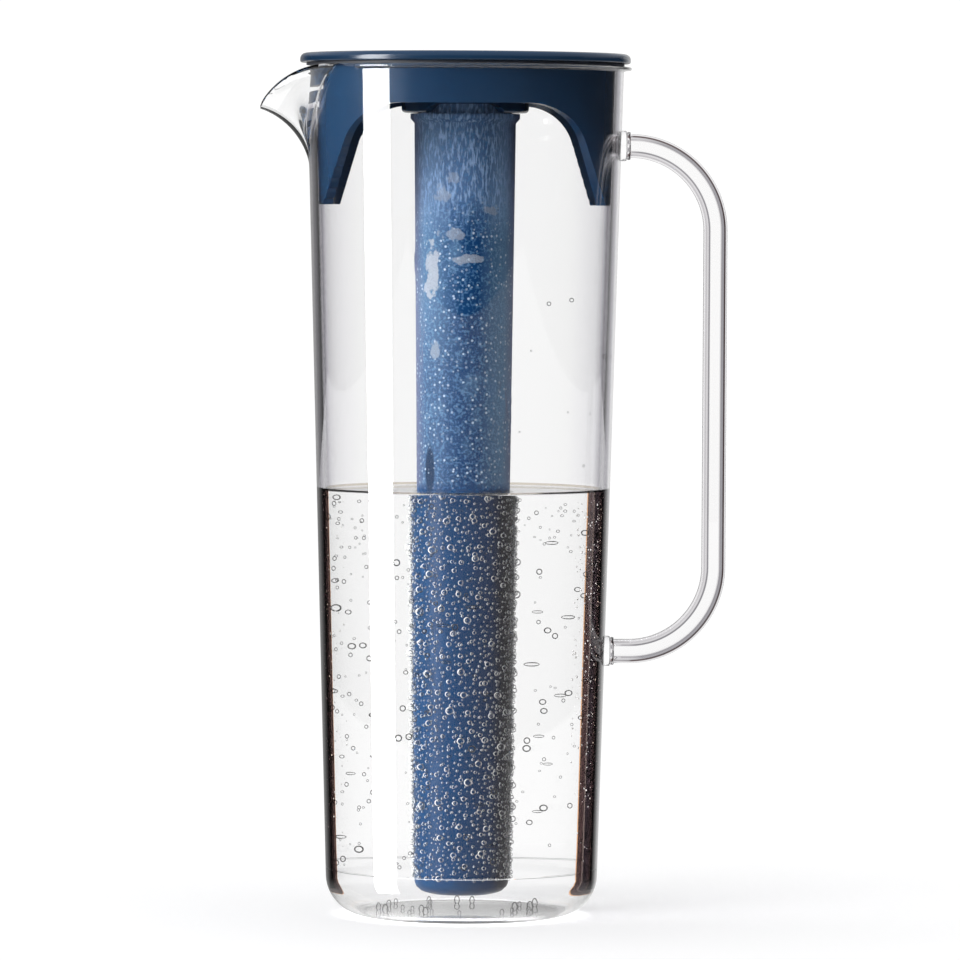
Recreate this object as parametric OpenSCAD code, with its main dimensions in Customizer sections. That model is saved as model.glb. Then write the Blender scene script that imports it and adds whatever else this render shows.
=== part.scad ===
// Clear pitcher with a pouring lid and a screw-in ice core.
// The origin is the centre of the base, on the axis of the jug. The spout points to -X, the handle to +X.

/* [Jug] */
// Height of the rim above the base
jug_h = 296.4; // [280:0.1:330]
// Radius that the outer wall would reach at the base
base_r = 47.1; // [44:0.1:52]
// Radius of the outer wall at the rim
rim_r = 55.3; // [53:0.1:62]
// Thickness of the wall
jug_wall = 2.8; // [2:0.1:4]
// Thickness of the floor
floor_t = 3; // [2.5:0.1:6]
// Radius of the rounded edge round the base
base_fillet = 14; // [8:0.5:20]
// Distance that the lip stands out round the rim
lip_out = 2.7; // [1:0.1:4]
// Thickness of the lip
lip_t = 1.5; // [1:0.1:3]
// Height of the lip's taper into the wall
lip_taper_h = 2.6; // [1:0.1:6]
// Height of the fine mould line above the base
mould_line_z = 16.7; // [12:0.1:30]
// Width of the mould line
mould_line_w = 0.5; // [0.2:0.1:1]
// Depth of the mould line
mould_line_depth = 0.2; // [0.1:0.05:0.5]

/* [Spout] */
// Distance that the spout's tip stands out from the wall
spout_reach = 16.6; // [8:0.1:22]
// Distance below the rim at which the spout starts
spout_drop = 40.4; // [30:0.1:60]
// Height of the curve under the spout
spout_rise = 26.3; // [18:0.1:34]
// Depth of the curve under the spout, were it carried on to level
spout_curve = 23.8; // [22.5:0.1:32]
// Half of the angle that the spout takes up at the rim
spout_half_angle = 46; // [40:0.5:50]
// Thickness of the spout's floor at its tip
spout_tip_t = 1.8; // [0.8:0.1:3]
// Radius of the spout's upper edge, seen from the side
spout_edge_r = 27.95; // [25:0.05:34]
// Height of that radius's centre below the rim
spout_edge_drop = 27.9; // [25:0.1:34]
// Distance of that radius's centre inside the rim
spout_edge_in = 8.2; // [4:0.1:12]

/* [Handle] */
// Width of the handle's rod
rod_w = 8.3; // [6:0.1:12]
// Radius of the rod's long edges
rod_edge_r = 2.6; // [1:0.1:2.9]
// Distance of the upright run from the jug's wall
grip_out = 32.9; // [32:0.1:55]
// Distance of the upper arm below the rim
arm_top_drop = 27.6; // [22:0.1:60]
// Height of the lower arm above the base
arm_low_z = 92.5; // [70:0.1:120]
// Radius of the bends, along the middle of the rod
bend_r = 29.5; // [18:0.1:29.5]
// Radius of the bosses on the wall
boss_r = 5.3; // [5:0.1:8]
// Distance that the bosses stand out from the wall
boss_out = 1.8; // [1:0.1:4]
// Radius of the foot at each end of the handle
foot_r = 4.9; // [4.5:0.1:7]
// Length of the feet
foot_t = 1.3; // [0.8:0.1:3]
// Thickness of the bond between foot and boss
bond_gap = 0.1; // [0.05:0.05:0.3]

/* [Lid] */
// Height of the lid's top above the rim
lid_top_h = 4.2; // [3:0.1:8]
// Thickness of the flange
flange_t = 3.3; // [3.2:0.1:6]
// Distance that the flange stands out from the jug's wall
flange_out = 2.3; // [1:0.1:4]
// Radius of the flange's upper edge
flange_top_r = 2; // [0.5:0.1:2]
// Radius of the flange's lower edge
flange_low_r = 0.7; // [0.3:0.1:1]
// Thickness of the lid's plate
plate_t = 2.6; // [2:0.1:4]
// Depth of the shallow dish in the top
dish_depth = 1.2; // [0.4:0.1:1.8]
// Width of the raised border round the dish
dish_border = 6; // [3:0.1:12]
// Gap between the skirt and the jug's wall
skirt_gap = 0.35; // [0.3:0.05:1]
// Thickness of the skirt
skirt_t = 2.8; // [1.6:0.1:3]
// Height of the skirt's legs, below the rim
leg_h = 48.4; // [38:0.1:60]
// Height of the arches' crown, below the rim
arch_drop = 13.7; // [12.5:0.1:16]
// Radius of the arches' shoulders
arch_r = 19; // [10:0.1:20]
// Half of the width of the arches' level crown
arch_half_w = 21.8; // [18:0.1:26]
// Angle of the legs' edges to the upright
leg_angle = 18.4; // [10:0.1:25]

/* [Strainer] */
// Number of slots
slot_count = 4; // [1:1:4]
// Height of each slot
slot_h = 2.1; // [1.2:0.1:3]
// Distance from one slot to the next
slot_pitch = 6.3; // [5:0.1:8]
// Height of the highest slot, below the rim
slot_drop = 7.4; // [6:0.1:10]
// Half of the highest slot's width
slot_half_w = 20.6; // [16:0.1:22]
// Half of the width that each slot loses to the one above
slot_step = 3.9; // [2:0.1:4]

/* [Core] */
// Radius of the core's tube under its shoulder
core_r = 17.6; // [15:0.1:19]
// Radius of the tube near its lower end
core_low_r = 14.6; // [12:0.1:17]
// Gap between the core and the jug's floor
core_floor_gap = 5; // [4.6:0.1:20]
// Thickness of the tube's wall
core_wall = 1.7; // [1.2:0.1:3]
// Radius of the tube's rounded lower edge
core_edge_r = 5; // [2:0.1:8]
// Radius of the shoulder that meets the socket
shoulder_r = 19; // [18:0.1:21]
// Thickness of the shoulder
shoulder_t = 1.7; // [1:0.1:3]
// Height of the taper under the shoulder
shoulder_taper_h = 1.6; // [0.8:0.1:4]
// Radius of the neck above the shoulder
neck_r = 16.4; // [14:0.1:17]
// Height of the neck above the shoulder
neck_h = 14.2; // [12:0.1:16]
// Height of air left above the ice
ice_air_h = 22; // [10:0.5:50]
// Gap between the ice and the tube
ice_gap = 0.15; // [0.05:0.05:0.5]
// Height of the swell on top of the ice
ice_crown_h = 2.5; // [0.5:0.1:5]

/* [Socket and thread] */
// Radius of the bore of the lid's socket
socket_r = 18.2; // [17:0.1:19]
// Thickness of the socket's wall
socket_wall = 4; // [2.5:0.1:5]
// Depth of the socket's mouth below the rim
socket_drop = 16.4; // [15:0.1:18]
// Radius of the socket's lower edge
socket_edge_r = 1.4; // [0.5:0.1:1.9]
// Rise of the thread in one turn
thread_pitch = 2.6; // [2.6:0.1:3.4]
// Turns of the thread
thread_turns = 1; // [1:0.25:1.5]
// Height that each thread stands out
thread_h = 1.4; // [1:0.1:1.5]
// Width of the thread at its root
thread_root_w = 1.3; // [0.8:0.1:1.4]
// Width of the thread at its crest
thread_crest_w = 0.6; // [0.3:0.1:0.7]
// Height of the thread's start above the socket's mouth
thread_start_h = 4.4; // [4:0.1:6]

/* [Seals] */
// Thickness of the ring between lid and rim
lid_seal_t = 0.7; // [0.5:0.05:1.2]
// Width of that ring
lid_seal_w = 2.6; // [1.5:0.1:4]
// Thickness of the washer over the core's neck
core_seal_t = 1.8; // [1:0.1:2.2]
// Gap left at each face of a seal
seal_gap = 0.05; // [0.05:0.05:0.1]
// Gap between parts that screw together or seat on each other
seat_gap = 0.3; // [0.2:0.05:0.4]

/* [Hidden] */
$fn = 96;

// Cuts run this far past the faces that they open
overrun = 1;
// Pieces that are joined into one sink this far into each other
sink = 0.8;

// The wall widens steadily from base to rim
taper = (rim_r - base_r) / jug_h;
lean = sqrt(1 + taper * taper);
function outer_r(z) = base_r + taper * z;
function inner_r(z) = outer_r(z) - jug_wall;

// Heights of the lid's faces
lid_top_z = jug_h + lid_top_h;
flange_low_z = lid_top_z - flange_t;
flange_r = rim_r + flange_out;
plate_top_z = lid_top_z - dish_depth;
plate_low_z = plate_top_z - plate_t;
dish_r = flange_r - dish_border;
leg_low_z = jug_h - leg_h;
skirt_inset = jug_wall + skirt_gap;

// Heights of the socket and of the core in it
socket_z = jug_h - socket_drop;
socket_out_r = socket_r + socket_wall;
shoulder_top_z = socket_z - seat_gap;
shoulder_low_z = shoulder_top_z - shoulder_t;
tube_top_z = shoulder_low_z - shoulder_taper_h;
core_low_z = floor_t + core_floor_gap;
neck_top_z = shoulder_top_z + neck_h;
core_seal_top_z = plate_low_z - seal_gap;

// The core's tube narrows steadily from its shoulder down
core_taper = (core_r - core_low_r) / (tube_top_z - core_low_z);
core_lean = sqrt(1 + core_taper * core_taper);
function core_out_r(z) = core_low_r + core_taper * (z - core_low_z);

// Places of the handle, which keeps its distance from the wider end of the jug
arm_top_z = jug_h - arm_top_drop;
grip_x = max(outer_r(arm_top_z), outer_r(arm_low_z)) + grip_out;

// The spout's walls, as a fan of upright rings that reach further out the higher they are
spout_low_z = jug_h - spout_drop;
spout_edge_x = rim_r - spout_edge_in;
spout_rows = 16;
spout_columns = 36;
spout_narrow_share = 0.1;
spout_inner_share = 0.895;
spout_back_share = 0.8;
spout_keel_share = 0.1;
spout_open = 0.3;
lip_stop_angle = 2;
// Lip and spout stay this far below the rim's level face
rim_step = 0.3;

// Half of a tapered vessel's section, rounded at its lower edge
module vessel_half(inset, low_z, edge_r, top_z) {
    edge_z = low_z + edge_r;
    edge_x = outer_r(edge_z) - inset - edge_r * lean;
    meet_z = edge_z - edge_r * taper / lean;
    polygon([
        [0, meet_z],
        [outer_r(meet_z) - inset, meet_z],
        [outer_r(top_z) - inset, top_z],
        [0, top_z]
    ]);
    translate([0, low_z]) square([edge_x, edge_r]);
    translate([edge_x, edge_z]) circle(r = edge_r);
}

// Half of the core's section, drawn in by inset from its outer face
module core_half(inset, low_z, edge_r, top_z) {
    edge_z = low_z + edge_r;
    edge_x = core_out_r(edge_z) - inset - edge_r * core_lean;
    meet_z = edge_z - edge_r * core_taper / core_lean;
    polygon([
        [0, meet_z],
        [core_out_r(meet_z) - inset, meet_z],
        [core_out_r(top_z) - inset, top_z],
        [0, top_z]
    ]);
    translate([0, low_z]) square([edge_x, edge_r]);
    translate([edge_x, edge_z]) circle(r = edge_r);
}

// Shape of the spout's nose across its width, from 1 in the middle to 0 at the sides.
// Its walls run off along the jug's tangents, and meet in a rounded keel.
function nose_share(t) =
    let (
        soft = spout_keel_share,
        s = (sqrt(t * t + soft * soft) - soft) / (sqrt(1 + soft * soft) - soft)
    )
    pow(1 - s, 2);

// Distance of the spout's face from the axis, and its height just above the spout's upper edge, seen from the side
function spout_r(t, wall_r, reach) = wall_r - sink + (reach + sink) * nose_share(t);
function spout_edge_z(t, half_angle) =
    let (
        x = spout_r(t, rim_r, spout_reach) * cos(t * half_angle),
        beyond = max(x - spout_edge_x, 0)
    )
    jug_h - spout_edge_drop + sqrt(max(spout_edge_r * spout_edge_r - beyond * beyond, 0)) + sink;

// How much higher than in the middle the spout rises, t of the way to its side
function rise_share(t, half_angle) =
    (spout_edge_z(t, half_angle) - spout_low_z) / (spout_edge_z(0, half_angle) - spout_low_z);

// One ring of the spout: the nose, closed behind through the inside of the jug
function spout_ring(rise, top_z, inset, reach, half_angle, width) = concat(
    [for (i = [0 : spout_columns])
        let (
            t = 2 * i / spout_columns - 1,
            a = 180 + t * half_angle * width,
            z = top_z > 0 ? top_z : spout_low_z + rise * rise_share(t, half_angle),
            r = spout_r(t, outer_r(z) - inset, reach)
        )
        [r * cos(a), r * sin(a), z]
    ],
    [for (side = [1, -1])
        let (
            a = 180 + side * half_angle * width,
            z = top_z > 0 ? top_z : spout_low_z + rise * rise_share(side, half_angle),
            r = outer_r(z) * spout_back_share
        )
        [r * cos(a), r * sin(a), z]
    ]
);

// Rings joined one above the other into a closed solid. The ends are flat.
module stack(rings) {
    n = len(rings[0]);
    rows = len(rings);
    points = [for (ring = rings) for (p = ring) p];
    sides = [
        for (row = [0 : rows - 2]) for (i = [0 : n - 1])
            let (j = (i + 1) % n, a = row * n + i, b = row * n + j)
            each [[a, a + n, b + n], [a, b + n, b]]
    ];
    low = [for (i = [0 : n - 1]) i];
    top = [for (i = [n - 1 : -1 : 0]) (rows - 1) * n + i];
    polyhedron(points = points, faces = concat([low], sides, [top]));
}

// The spout curves out of the wall along an ellipse; a turn of 90 degrees would bring it level.
// The wall's face lies inset from the outer one.
module spout_solid(inset, rise, reach, half_angle, top_z) {
    depth = spout_curve + inset + sink;
    last_turn = acos(1 - (reach + inset + sink) / depth);
    rings = [
        for (row = [0 : spout_rows])
            let (
                turn = last_turn * row / spout_rows,
                out = depth * (1 - cos(turn)) - sink,
                width = spout_narrow_share + (1 - spout_narrow_share) * sin(turn / 2) / sin(last_turn / 2)
            )
            spout_ring(rise * sin(turn), 0, inset, out, half_angle, width)
    ];
    top_ring = spout_ring(0, top_z, inset, reach + inset, half_angle, 1);
    stack(concat(rings, [top_ring]));
}

module spout_outside() {
    intersection() {
        spout_solid(0, spout_rise, spout_reach, spout_half_angle, jug_h + overrun);
        translate([-spout_edge_x, 0, jug_h - spout_edge_drop]) rotate([90, 0, 0])
            cylinder(r = spout_edge_r, h = 2 * rim_r, center = true);
        translate([-2 * rim_r, -rim_r, 0]) cube([2 * rim_r, 2 * rim_r, jug_h - rim_step]);
    }
}

module spout_inside() {
    spout_solid(
        jug_wall, spout_rise + spout_tip_t, spout_reach + spout_open,
        spout_half_angle * spout_inner_share, jug_h + overrun
    );
}

// Half of the section of the lip round the rim, with a rounded edge
module lip_half() {
    lip_r = rim_r + lip_out;
    lip_z = jug_h - rim_step - lip_t;
    edge = lip_t / 2;
    translate([rim_r - sink, lip_z]) square([lip_out + sink - edge, lip_t]);
    translate([lip_r - edge, lip_z + edge]) circle(r = edge);
    polygon([
        [rim_r - sink, lip_z - lip_taper_h],
        [rim_r + lip_out / 2, lip_z + edge],
        [rim_r - sink, lip_z + edge]
    ]);
}

// The lip stops short of the spout on both sides
module rim_lip() {
    half_gap = spout_half_angle + lip_stop_angle;
    rotate([0, 0, half_gap - 180]) rotate_extrude(angle = 360 - 2 * half_gap) lip_half();
}

// A boss for each end of the handle
module handle_boss(z) {
    face_x = outer_r(z) + boss_out;
    translate([inner_r(z) + sink, 0, z]) rotate([0, 90, 0])
        cylinder(r = boss_r, h = face_x - inner_r(z) - sink);
}

module mould_line() {
    rotate_extrude()
        translate([outer_r(mould_line_z) - mould_line_depth, mould_line_z - mould_line_w / 2])
            square([mould_line_depth + overrun, mould_line_w]);
}

module jug_body() {
    color([0.86, 0.89, 0.92, 0.35])
        difference() {
            union() {
                rotate_extrude() vessel_half(0, 0, base_fillet, jug_h);
                rim_lip();
                spout_outside();
                handle_boss(arm_top_z);
                handle_boss(arm_low_z);
            }
            rotate_extrude()
                vessel_half(jug_wall, floor_t, base_fillet - jug_wall, jug_h + overrun);
            spout_inside();
            mould_line();
        }
}

// The rod's section, square with rounded edges. The bends are a hair wider, so that the straight runs end in them.
bend_swell = 0.03;
module rod_section(grow) {
    corner = rod_w / 2 - rod_edge_r;
    for (x = [-corner, corner]) for (y = [-corner, corner])
        translate([x, y]) circle(r = rod_edge_r + grow);
    square([rod_w + 2 * grow, 2 * corner], center = true);
    square([2 * corner, rod_w + 2 * grow], center = true);
}

// One arm of the handle, from its foot at the wall to the end of its bend
module handle_arm(z, bend_side) {
    foot_x = outer_r(z) + boss_out + bond_gap;
    arm_x = foot_x + foot_t / 2;
    bend_x = grip_x - bend_r;
    translate([foot_x, 0, z]) rotate([0, 90, 0]) cylinder(r = foot_r, h = foot_t);
    translate([arm_x, 0, z]) rotate([0, 90, 0])
        linear_extrude(height = bend_x + sink - arm_x) rod_section(0);
    translate([bend_x, 0, z - bend_side * bend_r]) rotate([90, 0, 0])
        rotate([0, 0, bend_side > 0 ? 0 : -90])
            rotate_extrude(angle = 90) translate([bend_r, 0]) rod_section(bend_swell);
}

module handle() {
    grip_low_z = arm_low_z + bend_r - sink;
    grip_top_z = arm_top_z - bend_r + sink;
    color([0.86, 0.89, 0.92, 0.35])
        union() {
            handle_arm(arm_top_z, 1);
            handle_arm(arm_low_z, -1);
            translate([grip_x, 0, grip_low_z])
                linear_extrude(height = grip_top_z - grip_low_z) rod_section(0);
        }
}

// A ring that lies on the rim, under the flange
module lid_seal() {
    seal_in_r = inner_r(jug_h) + seat_gap;
    color([0.1, 0.12, 0.16])
        translate([0, 0, jug_h + seal_gap])
            difference() {
                cylinder(r = seal_in_r + lid_seal_w, h = lid_seal_t);
                translate([0, 0, -overrun]) cylinder(r = seal_in_r, h = lid_seal_t + 2 * overrun);
            }
}

// Half of the section of the lid's flange and plate
module flange_half() {
    square_r = flange_r - flange_top_r;
    translate([0, flange_low_z]) square([square_r, flange_t]);
    translate([square_r, lid_top_z - flange_top_r])
        intersection() {
            circle(r = flange_top_r);
            square(flange_top_r);
        }
    translate([0, flange_low_z]) square([flange_r - flange_low_r, flange_t - flange_top_r]);
    translate([flange_r - flange_low_r, flange_low_z + flange_low_r]) circle(r = flange_low_r);
    translate([0, flange_low_z + flange_low_r])
        square([flange_r, flange_t - flange_top_r - flange_low_r]);
    translate([0, plate_low_z]) square([inner_r(plate_low_z) - skirt_gap, plate_t]);
}

// One side of an arch as it shows in the skirt's face, seen along Y, from its crown down to below the leg
arch_steps = 12;
leg_steps = 6;
arch_near_share = 0.15;
function arch_side() =
    let (
        shoulder_z = jug_h - arch_drop - arch_r,
        edge_x = arch_half_w + arch_r * cos(leg_angle),
        edge_z = shoulder_z + arch_r * sin(leg_angle),
        foot_z = leg_low_z - overrun
    )
    concat(
        [for (i = [0 : arch_steps])
            let (a = 90 + (leg_angle - 90) * i / arch_steps)
            [arch_half_w + arch_r * cos(a), shoulder_z + arch_r * sin(a)]
        ],
        [for (i = [1 : leg_steps])
            let (z = edge_z + (foot_z - edge_z) * i / leg_steps)
            [edge_x + (edge_z - z) * tan(leg_angle), z]
        ]
    );

// The outline of an arch at distance y from the axis. Its edges point at the axis, square to the skirt.
function arch_ring(y) =
    let (side = arch_side(), n = len(side), skirt_r = outer_r(leg_low_z) - skirt_inset)
    concat(
        [for (p = side) [y * tan(asin(p[0] / skirt_r)), y, p[1]]],
        [for (i = [n - 1 : -1 : 0]) let (p = side[i]) [-y * tan(asin(p[0] / skirt_r)), y, p[1]]]
    );

module arch_cut() {
    stack([arch_ring(arch_near_share * rim_r), arch_ring(rim_r + overrun)]);
}

module skirt() {
    difference() {
        rotate_extrude()
            polygon([
                [outer_r(leg_low_z) - skirt_inset - skirt_t, leg_low_z],
                [outer_r(leg_low_z) - skirt_inset, leg_low_z],
                [outer_r(plate_top_z) - skirt_inset, plate_top_z],
                [outer_r(plate_top_z) - skirt_inset - skirt_t, plate_top_z]
            ]);
        arch_cut();
        rotate([0, 0, 180]) arch_cut();
        for (i = [0 : slot_count - 1])
            let (half_w = slot_half_w - i * slot_step, z = jug_h - slot_drop - i * slot_pitch)
            translate([-rim_r, -half_w, z - slot_h / 2])
                cube([rim_r / 2, 2 * half_w, slot_h]);
    }
}

// Half of the section of the socket's wall
module socket_half() {
    edge_r = socket_edge_r;
    translate([socket_r, socket_z + edge_r])
        square([socket_wall, plate_top_z - socket_z - edge_r]);
    translate([socket_r + edge_r, socket_z]) square([socket_wall - 2 * edge_r, edge_r * 2]);
    for (x = [socket_r + edge_r, socket_out_r - edge_r])
        translate([x, socket_z + edge_r]) circle(r = edge_r);
}

// A right-hand screw ridge on a wall of radius root_r. It stands out for side 1 and inwards for side -1.
thread_steps = 32;
module ridge(root_r, side, start_z, turns) {
    step_count = thread_steps * turns;
    rings = [
        for (i = [0 : step_count])
            let (
                a = 360 * i / thread_steps,
                z = start_z + thread_pitch * i / thread_steps,
                low_r = root_r - side * sink,
                crest_r = root_r + side * thread_h,
                crest = thread_crest_w / 2,
                low = thread_root_w / 2 + (thread_root_w - thread_crest_w) / 2 * sink / thread_h,
                section = [[low_r, -low], [crest_r, -crest], [crest_r, crest], [low_r, low]]
            )
            [for (p = section) [p[0] * cos(a), p[0] * sin(a), z + p[1]]]
    ];
    n = len(rings[0]);
    last = step_count * n;
    points = [for (ring = rings) for (p = ring) p];
    sides = [
        for (i = [0 : step_count - 1]) for (k = [0 : n - 1])
            let (m = (k + 1) % n, a = i * n + k, b = i * n + m)
            each (side > 0 ? [[a, b, b + n], [a, b + n, a + n]] : [[a, b + n, b], [a, a + n, b + n]])
    ];
    first_end = [for (k = [0 : n - 1]) side > 0 ? n - 1 - k : k];
    last_end = [for (k = [0 : n - 1]) last + (side > 0 ? k : n - 1 - k)];
    polyhedron(points = points, faces = concat([first_end], sides, [last_end]));
}

// The socket's ridge runs half a pitch below the neck's
neck_thread_z = socket_z + thread_start_h;
socket_thread_z = neck_thread_z - thread_pitch / 2;

module lid() {
    color([0.1, 0.22, 0.36])
        union() {
            difference() {
                rotate_extrude() flange_half();
                translate([0, 0, plate_top_z]) cylinder(r = dish_r, h = dish_depth + overrun);
            }
            skirt();
            rotate_extrude() socket_half();
            ridge(socket_r, -1, socket_thread_z, thread_turns);
        }
}

// A washer that lies against the roof of the socket
module core_seal() {
    color([0.1, 0.12, 0.16])
        translate([0, 0, core_seal_top_z - core_seal_t])
            difference() {
                cylinder(r = socket_r - seat_gap, h = core_seal_t);
                translate([0, 0, -overrun])
                    cylinder(r = neck_r - core_wall, h = core_seal_t + 2 * overrun);
            }
}

module core_tube() {
    color([0.13, 0.29, 0.48])
        union() {
            difference() {
                rotate_extrude() {
                    core_half(0, core_low_z, core_edge_r, tube_top_z);
                    polygon([
                        [0, tube_top_z - overrun],
                        [core_out_r(tube_top_z - overrun), tube_top_z - overrun],
                        [core_r, tube_top_z],
                        [shoulder_r, shoulder_low_z],
                        [shoulder_r, shoulder_top_z],
                        [0, shoulder_top_z]
                    ]);
                    translate([0, shoulder_top_z - overrun]) square([neck_r, neck_h + overrun]);
                }
                rotate_extrude() {
                    core_half(core_wall, core_low_z + core_wall, core_edge_r - core_wall, tube_top_z);
                    translate([0, tube_top_z - overrun])
                        square([neck_r - core_wall, neck_top_z - tube_top_z + 2 * overrun]);
                }
            }
            ridge(neck_r, 1, neck_thread_z, thread_turns);
        }
}

// Frozen water that fills the tube, swollen a little at its top
module ice_charge() {
    ice_inset = core_wall + ice_gap;
    ice_top_z = tube_top_z - ice_air_h;
    ice_top_r = core_out_r(ice_top_z) - ice_inset;
    crown_r = (ice_top_r * ice_top_r + ice_crown_h * ice_crown_h) / (2 * ice_crown_h);
    color([0.85, 0.93, 0.98, 0.6])
        union() {
            rotate_extrude()
                core_half(ice_inset, core_low_z + ice_inset, core_edge_r - ice_inset, ice_top_z);
            intersection() {
                translate([0, 0, ice_top_z + ice_crown_h - crown_r]) sphere(r = crown_r);
                translate([0, 0, ice_top_z - sink])
                    cylinder(r = ice_top_r, h = ice_crown_h + sink + overrun);
            }
        }
}

jug_body();
handle();
lid_seal();
lid();
core_seal();
core_tube();
ice_charge();
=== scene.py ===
"""A clear pitcher with a pouring lid and an ice core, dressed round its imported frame.

Lengths are in metres, unless a comment says millimetres. The pitcher's axis is Z, its spout points to -X
and its handle to +X.
"""

import math

import bmesh
import bpy
import numpy as np
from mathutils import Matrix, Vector, noise


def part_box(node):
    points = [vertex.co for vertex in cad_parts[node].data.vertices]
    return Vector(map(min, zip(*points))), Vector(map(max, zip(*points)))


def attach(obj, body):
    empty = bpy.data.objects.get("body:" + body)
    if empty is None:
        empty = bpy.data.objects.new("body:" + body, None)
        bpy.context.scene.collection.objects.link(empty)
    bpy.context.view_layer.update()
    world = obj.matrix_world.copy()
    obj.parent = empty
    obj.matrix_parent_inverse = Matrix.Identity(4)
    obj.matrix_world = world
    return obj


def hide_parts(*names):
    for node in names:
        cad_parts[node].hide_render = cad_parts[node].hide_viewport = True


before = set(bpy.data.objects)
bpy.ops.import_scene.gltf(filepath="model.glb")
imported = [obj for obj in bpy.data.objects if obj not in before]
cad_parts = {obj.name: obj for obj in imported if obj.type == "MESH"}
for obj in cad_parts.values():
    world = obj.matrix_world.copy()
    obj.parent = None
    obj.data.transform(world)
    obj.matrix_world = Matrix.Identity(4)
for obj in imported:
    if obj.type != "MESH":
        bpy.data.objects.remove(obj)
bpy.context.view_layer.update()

MM = 0.001
WELD_DIST = 0.001 * MM
LID_WELD_DIST = 0.06 * MM

# The jug's sizes; what the frame can give comes from it
JUG_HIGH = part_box("jug_body")[1]
JUG_H = JUG_HIGH.z
LIP_OUT = 2.7 * MM
RIM_R = JUG_HIGH.y - LIP_OUT
BASE_R = 47.1 * MM
WALL = 2.8 * MM
FLOOR_T = 3 * MM
BASE_EDGE_R = 14 * MM
MOULD_LINE_Z = 16.7 * MM
MOULD_LINE_W = 0.5 * MM
MOULD_LINE_DEPTH = 0.2 * MM
RIM_STEP = 0.3 * MM
LIP_T = 1.1 * MM
LIP_TAPER_H = 0.5 * MM
LIP_TAPER_OUT = 0.85 * MM
LIP_FULL_ANGLE = math.radians(50)
RIM_BEVEL = 0.3 * MM
RIM_BEVEL_SHARE = 0.35
TAPER = (RIM_R - BASE_R) / JUG_H
LEAN = math.hypot(1, TAPER)

# Where the jug's rings lie
WALL_START_Z = 24 * MM
WALL_MARGIN = 4 * MM
WALL_STEPS = 24
SPOUT_STEPS = 28
RIM_STEPS = 14

# The spout's sizes
SPOUT_LOW_Z = JUG_H - 40.4 * MM
SPOUT_RISE = 26.3 * MM
SPOUT_CURVE = 23.8 * MM
SPOUT_SINK = 0.8 * MM
SPOUT_REACH = 16.6 * MM
SPOUT_TIP_T = 1.8 * MM
SPOUT_INNER_RISE = SPOUT_RISE + SPOUT_TIP_T
SPOUT_THIN = 0.45 * MM
SPOUT_SOFT = 0.35 * MM
SPOUT_HALF_ANGLE = math.radians(46)
SPOUT_INNER_SHARE = 0.895
SPOUT_NARROW_SHARE = 0.1
SPOUT_KEEL_SHARE = 0.1
SPOUT_EDGE_R = 27.95 * MM
SPOUT_EDGE_Z = JUG_H - 27.9 * MM
SPOUT_EDGE_X = 47.1 * MM
SPOUT_LAST_TURN = math.radians(73)
SPOUT_INNER_LAST_TURN = math.radians(75)

# The handle's sizes
HANDLE_LOW, HANDLE_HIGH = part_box("handle")
ROD_W = 8.3 * MM
ROD_EDGE_R = 2.6 * MM
FOOT_R = HANDLE_HIGH.y
FOOT_T = 1.3 * MM
BEND_R = 29.5 * MM
BOSS_R = 5.3 * MM
BOSS_OUT = 1.8 * MM
BOND_GAP = 0.1 * MM
GRIP_X = HANDLE_HIGH.x - ROD_W / 2
ARM_TOP_Z = HANDLE_HIGH.z - FOOT_R
ARM_LOW_Z = HANDLE_LOW.z + FOOT_R

# The core's sizes
CORE_LOW_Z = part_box("core_tube")[0].z
CORE_R = 17.6 * MM
CORE_LOW_R = 14.6 * MM
CORE_EDGE_R = 5 * MM
SHOULDER_R = 19 * MM
SHOULDER_TOP_Z = 279.7 * MM
SHOULDER_LOW_Z = 278 * MM
TUBE_TOP_Z = 276.4 * MM
SKIN_T = 0.08 * MM
ICE_T = 0.55 * MM

# Where ice and a drip show on the core, in millimetres: the middle, how far it reaches each way, and for ice
# how strongly it shows
ICE_PATCHES = (
    ((-11.4, -13, 225), (2.2, 12, 8), 0.85),
    ((-8.3, -15, 252), (2.6, 12, 2.4), 0.35),
    ((-4.2, -17, 257), (2.2, 12, 2), 0.3),
    ((-3.1, -17, 238), (4.2, 12, 1.6), 0.42),
    ((1.5, -17, 229), (4.8, 12, 1.3), 0.5),
    ((-9.6, -14, 198), (1.9, 12, 2.4), 0.5),
    ((9, -14, 246), (2.2, 12, 1.8), 0.35),
    ((0, 18, 222), (3, 12, 9), 0.6),
)
DRIP_PLACE = (-11.6, -13, 156)
DRIP_RADII = (1.6, 10, 8)

# Heights between which the frost on the core changes, and the painted light mixed into it
FROST_AND_LIGHT_LEFT_Z = (185 * MM, 215 * MM)
FROST_UPPER_Z = (236 * MM, 252 * MM)
FROST_AND_LIGHT_TOP_Z = (262 * MM, 246 * MM)

# The lid's arches, as they show in the face of its skirt
ARCH_DROP = 13.7 * MM
ARCH_R = 19 * MM
ARCH_HALF_W = 21.8 * MM
ARCH_SHAVE = 0.25 * MM
LEG_LOW_Z = JUG_H - 48.4 * MM
LEG_ANGLE = math.radians(18.4)
SKIRT_INSET = 3.2 * MM

# The drink's sizes
WATER_Z = 148.5 * MM
WATER_OVERLAP = 0.1 * MM
MENISCUS_H = 1 * MM
MENISCUS_W = 1.8 * MM

# Where its bubbles sit
BUBBLES_LOW_Z = 19 * MM
BUBBLES_TOP_Z = WATER_Z - 1 * MM
EDGE_CHANGE_Z = 60 * MM
FLOOR_RING_R = 28 * MM
FLOOR_RING_HOLE_R = 16.8 * MM

WHITE = (1.0, 1.0, 1.0)

# How clear plastic and drink bend light, and the tint of what falls through the plastic
ACRYLIC_IOR = 1.49
ACRYLIC_SHADOW = (0.93, 0.93, 0.94)
WATER_IOR = 1.12
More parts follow.
